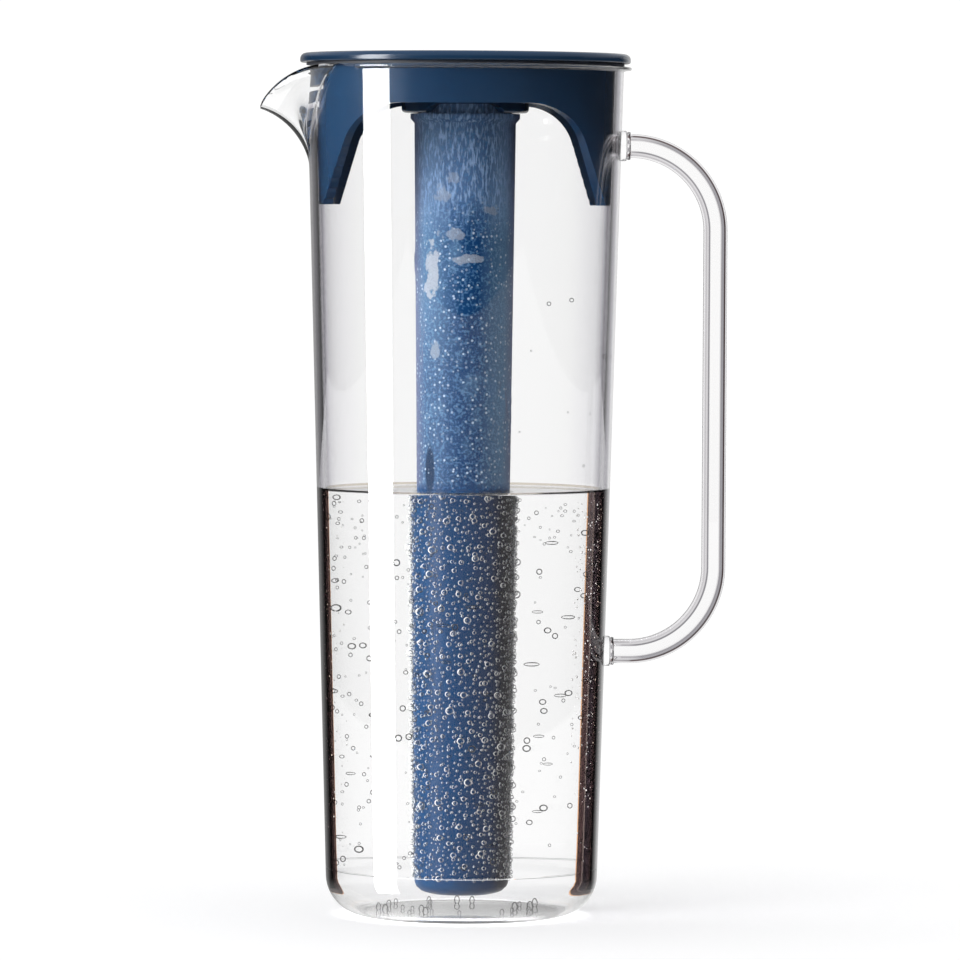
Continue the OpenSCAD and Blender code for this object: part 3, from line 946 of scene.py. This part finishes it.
def water_material():
    """Sparkling water: painted dark bands, painted shade inside the edges that the jug shows of it, and a
    grey-lilac painted reflection on its surface.
    """
    material, tree, shader = clear_material("Sparkling water", WATER_IOR, (0.98, 0.98, 0.98))
    parts = parts_of(tree, object_place(tree))
    outside = rest_to_one(tree, tree.nodes.new("ShaderNodeNewGeometry").outputs["Backfacing"])
    level = levelness(tree)

    # Painted shade: near-black bands with an orange inner fringe, by how far the face turns from the eye,
    # starting sooner on the +X side
    start = ranged(tree, parts["X"], -0.01, 0.01, BAND_LEFT, BAND_RIGHT)
    span = math_node(tree, "SUBTRACT", BAND_END, start)
    depth = math_node(tree, "DIVIDE", math_node(tree, "SUBTRACT", facing(tree), start), span)
    shown = ranged(tree, depth, -0.25, 1.0)
    shown = product(tree, shown, outside, upright_share(tree, level))
    band = colour_ramp(tree, shown, (
        (0.18, WHITE),
        (0.22, (0.9, 0.32, 0.1)),
        (0.26, (0.01, 0.0035, 0.003)),
        (0.5, (0.006, 0.002, 0.0022)),
        (0.55, (0.06, 0.035, 0.03)),
        (0.6, (0.0012, 0.0005, 0.0008)),
        (1.0, (0.002, 0.001, 0.0015)),
    ))
    # Painted reflection on the drink's surface: brownish on its meniscus and grey-lilac where it lies level
    top = colour_ramp(tree, level, (
        (0.3, WHITE),
        (0.45, (0.5, 0.42, 0.3)),
        (0.85, (0.42, 0.36, 0.28)),
        (0.985, (0.86, 0.85, 0.88)),
    ))
    above = ranged(tree, parts["Z"], WATER_Z - 1 * MM, WATER_Z - 0.5 * MM)
    surface = mixed_colour(tree, above, WHITE, top)
    feed(tree, shader, {"Base Color": mixed_colour(tree, 1, band, surface, "MULTIPLY")})
    return material


def lid_material():
    """Glossy navy plastic with a faint moulded unevenness, and painted shade that darkens it where it turns
    edge on.
    """
    material, tree, shader = new_material("Navy lid plastic", {"Specular IOR Level": 0.3, "IOR": 1.5})
    cloud = mixed_colour(tree, object_noise(tree, 18, 2), (0.010, 0.037, 0.088), (0.014, 0.050, 0.115))
    # Painted shade: near-black where a face turns edge on
    edge = ranged(tree, facing(tree), 0.8, 0.96)
    feed(tree, shader, {
        "Base Color": mixed_colour(tree, edge, cloud, (0.004, 0.006, 0.014)),
        "Roughness": ranged(tree, object_noise(tree, 900, 2), 0.3, 0.7, 0.16, 0.24),
    })
    bumped(tree, shader, object_noise(tree, 160, 3), 0.06, 0.0004)
    return material


def cloudy_material(name, inputs, scale, first, second):
    """A material whose colour drifts between two."""
    material, tree, shader = new_material(name, inputs)
    feed(tree, shader, {"Base Color": mixed_colour(tree, object_noise(tree, scale, 4), first, second)})
    return material, tree, shader


def rubber_material():
    colours = (0.012, 0.016, 0.03), (0.02, 0.026, 0.045)
    material, tree, shader = cloudy_material("Dark silicone", {"Roughness": 0.6}, 240, *colours)
    bumped(tree, shader, object_noise(tree, 1200, 2), 0.2, 0.0002)
    return material


def ice_material():
    inputs = {"Roughness": 0.25, "Transmission Weight": 0.4}
    return cloudy_material("Cloudy ice", inputs, 50, (0.7, 0.82, 0.9), (0.9, 0.95, 0.98))[0]


def near_point(tree, place, centre, radii, ragged):
    """A mask that is 1 near a point and falls to 0 at the radii's distance from it, with a ragged edge."""
    shift = vector_node(tree, "SUBTRACT", {0: place, 1: [c * MM for c in centre]})[0]
    scaled = vector_node(tree, "DIVIDE", {0: shift, 1: [r * MM for r in radii]})[0]
    reach = math_node(tree, "ADD", length_of(tree, scaled), ragged)
    return ranged(tree, reach, 1.15, 0.85)


def core_material():
    """Blue plastic: soaked below the drink's surface, with painted shade towards +X there, and frosted with
    streaks, specks and ice above, with painted light in its frost and a painted sheen at its rim.
    """
    material, tree, shader = new_material("Cold blue plastic", {"Specular IOR Level": 0.12})
    place = object_place(tree)
    parts = parts_of(tree, place)
    height, side = parts["Z"], parts["X"]
    above = ranged(tree, height, WATER_Z + 0.5 * MM, WATER_Z + 3 * MM)
    below = ranged(tree, height, WATER_Z + 1 * MM, WATER_Z - 1 * MM)
    upper = ranged(tree, height, *FROST_UPPER_Z)

    streaks = ranged(tree, object_noise(tree, 1250, 2, (1, 1, 0.24)), 0.47, 0.63)
    cells = ranged(tree, object_noise(tree, 1050, 3), 0.5, 0.62)
    grain = mixed_value(tree, upper, cells, streaks)
    cloud = ranged(tree, object_noise(tree, 110, 4, (1, 1, 0.7)), 0.5, 0.72)
    # Painted light mixed into the frost: lighter on the -X side, where the key light falls, towards +X to
    # lift its shaded side, and in the upper zone, where the lid shades the core
    left = product(
        tree,
        ranged(tree, side, -1 * MM, -14 * MM),
        ranged(tree, height, *FROST_AND_LIGHT_LEFT_Z, 0.34, 0.66),
        ranged(tree, height, *FROST_AND_LIGHT_TOP_Z, 0.8, 1),
    )
    right = ranged(tree, side, 5 * MM, 14 * MM, 0, 0.8)
    cloud_haze = product(tree, cloud, 0.4)
    upper_haze_and_light = product(tree, upper, 0.24)
    haze_and_painted_light = math_node(tree, "MAXIMUM", left, right, cloud_haze, upper_haze_and_light)
    frost = product(tree, grain, ranged(tree, upper, 0, 1, 0.45, 0.6))
    frost = math_node(tree, "MINIMUM", math_node(tree, "ADD", frost, haze_and_painted_light), 1.0)
    frost = product(tree, frost, above)

    specks = add_node(tree, "ShaderNodeTexVoronoi", {"Vector": place, "Scale": 620}).outputs
    choice = add_node(tree, "ShaderNodeSeparateColor", {0: specks["Color"]}).outputs[0]
    dots = product(
        tree,
        ranged(tree, specks["Distance"], 0.33, 0.2),
        ranged(tree, choice, 0.25, 0.8),
        above,
        ranged(tree, upper, 0, 1, 1, 0.15),
    )
    ragged = ranged(tree, object_noise(tree, 260, 4), 0.3, 0.7, -0.75, 0.75)
    patches = math_node(tree, "MAXIMUM", *[
        product(tree, near_point(tree, place, centre, radii, ragged), strength)
        for centre, radii, strength in ICE_PATCHES
    ])
    drip = near_point(tree, place, DRIP_PLACE, DRIP_RADII, 0.0)
    # Painted sheen: a pale purple-grey where the frosted face turns edge on, above the drink
    edge = product(tree, ranged(tree, facing(tree), 0.4, 0.8), above, 0.75)

    # Under the drink: a deeper blue, painted darker towards +X, painted shade that goes near-black at the
    # side facing the handle
    wet_and_shaded = colour_ramp(tree, ranged(tree, side, -15 * MM, 15 * MM), (
        (0.0, (0.001, 0.06, 0.185)),
        (0.25, (0.001, 0.05, 0.16)),
        (0.55, (0.002, 0.04, 0.128)),
        (0.8, (0.005, 0.026, 0.09)),
        (0.91, (0.008, 0.008, 0.022)),
        (1.0, (0.006, 0.003, 0.005)),
    ))
    # Lighter in the upper zone: frost, and painted light where the lid shades the core
    rime_and_light = mixed_colour(tree, upper, (0.17, 0.32, 0.52), (0.31, 0.48, 0.76))
    colour = mixed_colour(tree, cells, (0.001, 0.045, 0.155), (0.003, 0.09, 0.27))
    for mask, layer in (
        (below, wet_and_shaded),
        (frost, rime_and_light),
        (edge, (0.19, 0.19, 0.3)),
        (drip, (0.003, 0.03, 0.09)),
        (dots, (0.55, 0.68, 0.82)),
        (patches, (0.52, 0.57, 0.64)),
    ):
        colour = mixed_colour(tree, mask, colour, layer)
    feed(tree, shader, {"Base Color": colour, "Roughness": ranged(tree, frost, 0, 0.7, 0.35, 0.85)})
    bumped(tree, shader, product(tree, grain, above), 0.6, 0.0004)
    return material


def bubble_material(name, rim_from, rim_to, stops):
    """A ball of gas, clear in the middle. Its rim runs through the stops from its left side to its right, as
    painted light and shade.
    """
    material, tree, shader = new_material(name, {"Roughness": 0.15})
    across = ranged(tree, normal_parts(tree)["X"], -1, 1)
    feed(tree, shader, {"Base Color": colour_ramp(tree, across, stops)})
    clear = tree.nodes.new("ShaderNodeBsdfTransparent")
    path = tree.nodes.new("ShaderNodeLightPath").outputs
    lit = rest_to_one(tree, path["Is Shadow Ray"])
    rim = product(tree, ranged(tree, facing(tree), rim_from, rim_to), lit)
    set_surface(tree, mixed_shader(tree, rim, clear.outputs[0], shader.outputs[0]))
    return material


# The stage


def shown_light(tree, mirrored_share):
    """1 for rays from the camera and through glass, which see a white backdrop.

    Rays that a surface has mirrored on their way get the mirrored share, and rays that light dull surfaces
    get 0. For the latter, the second socket is 1.
    """
    path = tree.nodes.new("ShaderNodeLightPath").outputs
    seen = math_node(tree, "ADD", path["Is Camera Ray"], path["Is Glossy Ray"], path["Is Transmission Ray"])
    seen = math_node(tree, "MINIMUM", seen, 1.0)
    dull = math_node(tree, "MINIMUM", path["Diffuse Depth"], 1.0)
    not_dull = rest_to_one(tree, dull)
    mirrored = math_node(tree, "MINIMUM", path["Glossy Depth"], 1.0)
    straight = rest_to_one(tree, mirrored)
    kept = math_node(tree, "ADD", straight, product(tree, mirrored, mirrored_share))
    return product(tree, seen, not_dull, kept, BACKDROP), dull


def build_world():
    world = bpy.data.worlds.new("Studio")
    bpy.context.scene.world = world
    world.use_nodes = True
    tree = world.node_tree
    tree.nodes.clear()
    ways = parts_of(tree, tree.nodes.new("ShaderNodeTexCoord").outputs["Generated"])
    side = ranged(tree, ways["X"], *BEHIND_X, GLOSS_BEHIND_LEFT, GLOSS_BEHIND_RIGHT)
    behind = product(tree, ranged(tree, ways["Y"], *BEHIND_Y), side)
    steep = math_node(tree, "ABSOLUTE", ways["Z"], 0.0)
    above = ranged(tree, steep, *ABOVE_STEEP, 0, GLOSS_ABOVE)
    seen, dull = shown_light(tree, math_node(tree, "MAXIMUM", behind, GLOSS_SHARE, above))
    strength = math_node(tree, "ADD", seen, product(tree, dull, AMBIENT))
    background = add_node(tree, "ShaderNodeBackground", {"Color": (1, 1, 1, 1), "Strength": strength})
    add_node(tree, "ShaderNodeOutputWorld", {"Surface": background.outputs[0]})


def build_floor():
    corners = [(x * FLOOR_HALF_W, y * FLOOR_HALF_W, 0) for x, y in ((-1, -1), (1, -1), (1, 1), (-1, 1))]
    floor = mesh_object("studio_floor", corners, [(0, 1, 2, 3)])
    floor.location.z = -0.05 * MM
    material, tree, shader = new_material("Pale floor", {
        "Base Color": (0.62, 0.62, 0.63, 1),
        "Roughness": 0.9,
        "Specular IOR Level": 0,
    })
    reach = length_of(tree, object_place(tree))
    far = ranged(tree, reach, FLOOR_FADE_FROM, FLOOR_FADE_TO)
    # Painted light: the floor's glow is strongest right under the base
    under = ranged(tree, reach, FLOOR_GLOW_R, FLOOR_GLOW_END_R, FLOOR_GLOW_UNDER, FLOOR_GLOW_NEAR)
    seen = shown_light(tree, FLOOR_GLOSS_SHARE)[0]
    glow = add_node(tree, "ShaderNodeEmission", {"Strength": product(tree, seen, under)})
    both = add_node(tree, "ShaderNodeAddShader", {0: shader.outputs[0], 1: glow.outputs[0]})
    white = add_node(tree, "ShaderNodeEmission", {"Strength": seen})
    set_surface(tree, mixed_shader(tree, far, both.outputs[0], white.outputs[0]))
    paint(floor, material)
    floor.visible_glossy = False


def lamp(name, place, width, height, power, only_gloss=False):
    """A lamp that shines at the middle of the pitcher, either in gloss only or on dull surfaces only."""
    light = bpy.data.lights.new(name, "AREA")
    light.shape = "RECTANGLE"
    light.size, light.size_y = width, height
    light.energy = power
    thing = add_object(name, light)
    thing.location = place
    thing.rotation_euler = (Vector(LAMP_TARGET) - Vector(place)).to_track_quat("-Z", "Y").to_euler()
    thing.visible_camera = False
    thing.visible_transmission = False
    thing.visible_glossy = only_gloss
    thing.visible_diffuse = not only_gloss


def build_lamps():
    lamp("Tall strip box", (-1.29, -0.55, 0.17), 0.56, 1.7, 72, only_gloss=True)
    lamp("Wide soft box", (-1.3, -1.2, 0.9), 1.2, 1.0, 25)
    lamp("Right fill", (1.6, -1.1, 0.6), 0.9, 1.2, 4)
    lamp("Overhead", (-0.3, 0.2, 1.8), 1.2, 1.2, 8)


def build_camera():
    camera = bpy.data.cameras.new("Photo camera")
    camera.sensor_width = 36
    camera.lens = CAMERA_LENS_MM
    thing = add_object("Photo camera", camera)
    thing.location = CAMERA_PLACE
    thing.rotation_euler = CAMERA_TURNS
    bpy.context.scene.camera = thing


# The pieces


def paint(thing, material):
    thing.data.materials.clear()
    thing.data.materials.append(material)
    return thing


def dress_jug():
    jug = paint(build_jug(), acrylic_material())
    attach(jug, "jug")
    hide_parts("jug_body")


def dress_handle():
    rod = paint(build_handle(), handle_material())
    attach(rod, "jug")
    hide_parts("handle")


def arch_cutter(turn):
    """A smooth wedge to shave an arch's edges with. Turn is 1 for the arch behind, -1 for the front one."""
    arc_steps, leg_steps = 60, 40
    shoulder_z = JUG_H - ARCH_DROP - ARCH_R
    reach = ARCH_R + ARCH_SHAVE
    side = []
    for step in range(arc_steps + 1):
        a = math.pi / 2 + (LEG_ANGLE - math.pi / 2) * step / arc_steps
        side.append((ARCH_HALF_W + reach * math.cos(a), shoulder_z + reach * math.sin(a)))
    edge_x, edge_z = side[-1]
    foot_z = LEG_LOW_Z - 2 * MM
    for step in range(1, leg_steps + 1):
        z = edge_z + (foot_z - edge_z) * step / leg_steps
        side.append((edge_x + (edge_z - z) * math.tan(LEG_ANGLE), z))
    face_r = outer_r(LEG_LOW_Z) - SKIRT_INSET
    outline = side + [(-x, z) for x, z in reversed(side)]
    points = []
    for y in (0.15 * RIM_R, RIM_R + 2 * MM):
        points += [(turn * y * math.tan(math.asin(x / face_r)), turn * y, z) for x, z in outline]
    return smooth(mesh_object("arch", points, capped_faces(2, len(outline))))


def dress_lid():
    """The lid's own mesh, welded so that round faces shade smoothly, with its arches' edges shaved smooth."""
    copy = add_object("lid_moulding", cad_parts["lid"].data.copy())
    weld(copy.data, LID_WELD_DIST)
    given_normals = copy.data.attributes.get("custom_normal")
    if given_normals:
        copy.data.attributes.remove(given_normals)
    for turn in (1, -1):
        combine(copy, arch_cutter(turn), "DIFFERENCE")
    shade(copy.data, 32)
    paint(copy, lid_material())
    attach(copy, "lid")
    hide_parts("lid")


def dress_core():
    material = core_material()
    skin = paint(build_core_skin(), material)
    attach(skin, "core")
    paint(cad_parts["core_tube"], material)
    paint(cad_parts["ice_charge"], ice_material())


def dress_seals():
    rubber = rubber_material()
    paint(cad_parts["lid_seal"], rubber)
    paint(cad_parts["core_seal"], rubber)


def pour_drink():
    drink = paint(build_water(), water_material())
    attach(drink, "jug")


def add_bubbles():
    tree = scatter_tree()
    # Painted shade: dark outlines for bubbles seen against white
    on_white = bubble_material("Gas bubble", 0.2, 0.42, (
        (0.0, (0.05, 0.045, 0.045)),
        (0.5, (0.02, 0.02, 0.02)),
        (1.0, (0.012, 0.012, 0.015)),
    ))
    # Painted highlight on the rim's -X side and painted shade on its +X side
    on_blue = bubble_material("Gas bubble on blue", 0.22, 0.42, (
        (0.0, (1.0, 1.0, 0.97)),
        (0.3, (0.9, 0.9, 0.88)),
        (0.5, (0.3, 0.32, 0.36)),
        (0.7, (0.05, 0.05, 0.06)),
        (0.86, (0.35, 0.36, 0.38)),
        (1.0, (0.9, 0.88, 0.85)),
    ))
    # Painted highlight on the -X side and painted shade on the +X side, for the fine bubbles
    fine = bubble_material("Fine bubbles", 0.08, 0.24, (
        (0.0, (1.0, 1.0, 0.97)),
        (0.4, (0.75, 0.8, 0.85)),
        (0.62, (0.03, 0.03, 0.05)),
        (0.8, (0.03, 0.03, 0.05)),
        (1.0, (0.8, 0.78, 0.76)),
    ))
    # Painted highlights: near-white beads in the drink's painted dark bands
    bright = bubble_material("Bubbles on the dark edge", -0.2, -0.1, (
        (0.0, (1.0, 0.99, 0.96)),
        (1.0, (0.9, 0.86, 0.82)),
    ))
    low, top = BUBBLES_LOW_Z, BUBBLES_TOP_Z

    def on_wall(seed, low_z=low, high_z=top, span=(0, 360), **beads):
        base = sleeve(lambda z: inner_r(z) - 0.02 * MM, low_z, high_z, *span, inward=True)
        return scatter(tree, base, on_white, seed, **beads)

    def in_edge(seed, low_z, high_z, span, **beads):
        base = sleeve(lambda z: inner_r(z) + 0.25 * MM, low_z, high_z, *span)
        return scatter(tree, base, bright, seed, rarity=2.2, stand_off=0, detail=1, **beads)

    def on_tube(seed, material, span=(0, 360), **beads):
        base = sleeve(lambda z: core_r(z) + 0.1 * MM, CORE_LOW_Z + 5 * MM, top, *span)
        return scatter(tree, base, material, seed, **beads)

    wall_bubbles = [
        on_wall(3, spacing=2.5, density=7500, sizes=(0.35, 1.35), rarity=1.8, detail=3),
        on_wall(5, span=(185, 262), spacing=2.2, density=15000, sizes=(0.3, 0.9), rarity=1.4),
        on_wall(6, low_z=WATER_Z - 24 * MM, spacing=2, density=20000, sizes=(0.25, 0.6), rarity=1.4),
    ]
    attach(joined("wall_bubbles", wall_bubbles), "jug")
    flat = on_wall(
        31, span=(195, 345), stretch=(2.6, 1, 0.7),
        spacing=9, density=1500, sizes=(0.7, 1.1), rarity=1, detail=3,
    )
    drops = on_wall(
        12, low_z=WATER_Z + 4 * MM, high_z=WATER_Z + 70 * MM,
        spacing=5, density=900, sizes=(0.3, 0.9), rarity=1.6, stand_off=0.5, detail=3,
    )
    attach(joined("wall_drops", [flat, drops]), "jug")
    edge_bubbles = [
        in_edge(7, EDGE_CHANGE_Z, top, (-38, -2), spacing=0.9, density=200000, sizes=(0.16, 0.5)),
        in_edge(8, low, EDGE_CHANGE_Z, (-38, -2), spacing=1.5, density=60000, sizes=(0.16, 0.5)),
        in_edge(9, low, top, (182, 214), spacing=1.6, density=50000, sizes=(0.16, 0.45)),
    ]
    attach(joined("edge_bubbles", edge_bubbles), "jug")
    small = on_tube(
        11, fine, spacing=1.35, density=900000, sizes=(0.24, 0.54), rarity=1.4, stand_off=0.8, detail=1
    )
    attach(joined("core_bubbles_small", [small]), "core")
    dense = {"density": 500000, "sizes": (0.35, 0.7), "rarity": 1.4, "stand_off": 0.9}
    middling = [
        on_tube(19, on_blue, spacing=2.8, density=300000, sizes=(0.45, 0.95), rarity=1.6, stand_off=0.8),
        on_tube(41, on_blue, (-24, 10), spacing=1.2, **dense),
        on_tube(42, on_blue, (170, 200), spacing=1.3, **dense),
    ]
    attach(joined("core_bubbles_middling", middling), "core")
    large = on_tube(
        23, on_blue, spacing=5.6, density=22000, sizes=(0.85, 1.4), rarity=1.3, stand_off=0.8, detail=3
    )
    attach(joined("core_bubbles_large", [large]), "core")
    # Round the core's foot, so that the core can come down between them
    rings = [(FLOOR_RING_R, FLOOR_T), (FLOOR_RING_HOLE_R, FLOOR_T)]
    ring = turned("floor_ring", even_angles(48), rings, closed=False)
    on_floor = scatter(
        tree, ring, on_white, 29, stretch=(0.85, 0.85, 1.3),
        spacing=4.5, density=16000, sizes=(0.7, 1.3), rarity=1, stand_off=1.0, detail=3,
    )
    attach(joined("floor_bubbles", [on_floor]), "jug")


build_camera()
build_world()
build_floor()
build_lamps()
dress_jug()
dress_handle()
dress_lid()
dress_core()
dress_seals()
pour_drink()
add_bubbles()

bpy.context.scene.view_settings.view_transform = "Standard"
bpy.context.scene.cycles.max_bounces = 32
bpy.context.scene.cycles.transmission_bounces = 32
bpy.context.scene.cycles.transparent_max_bounces = 48
bpy.context.view_layer.update()
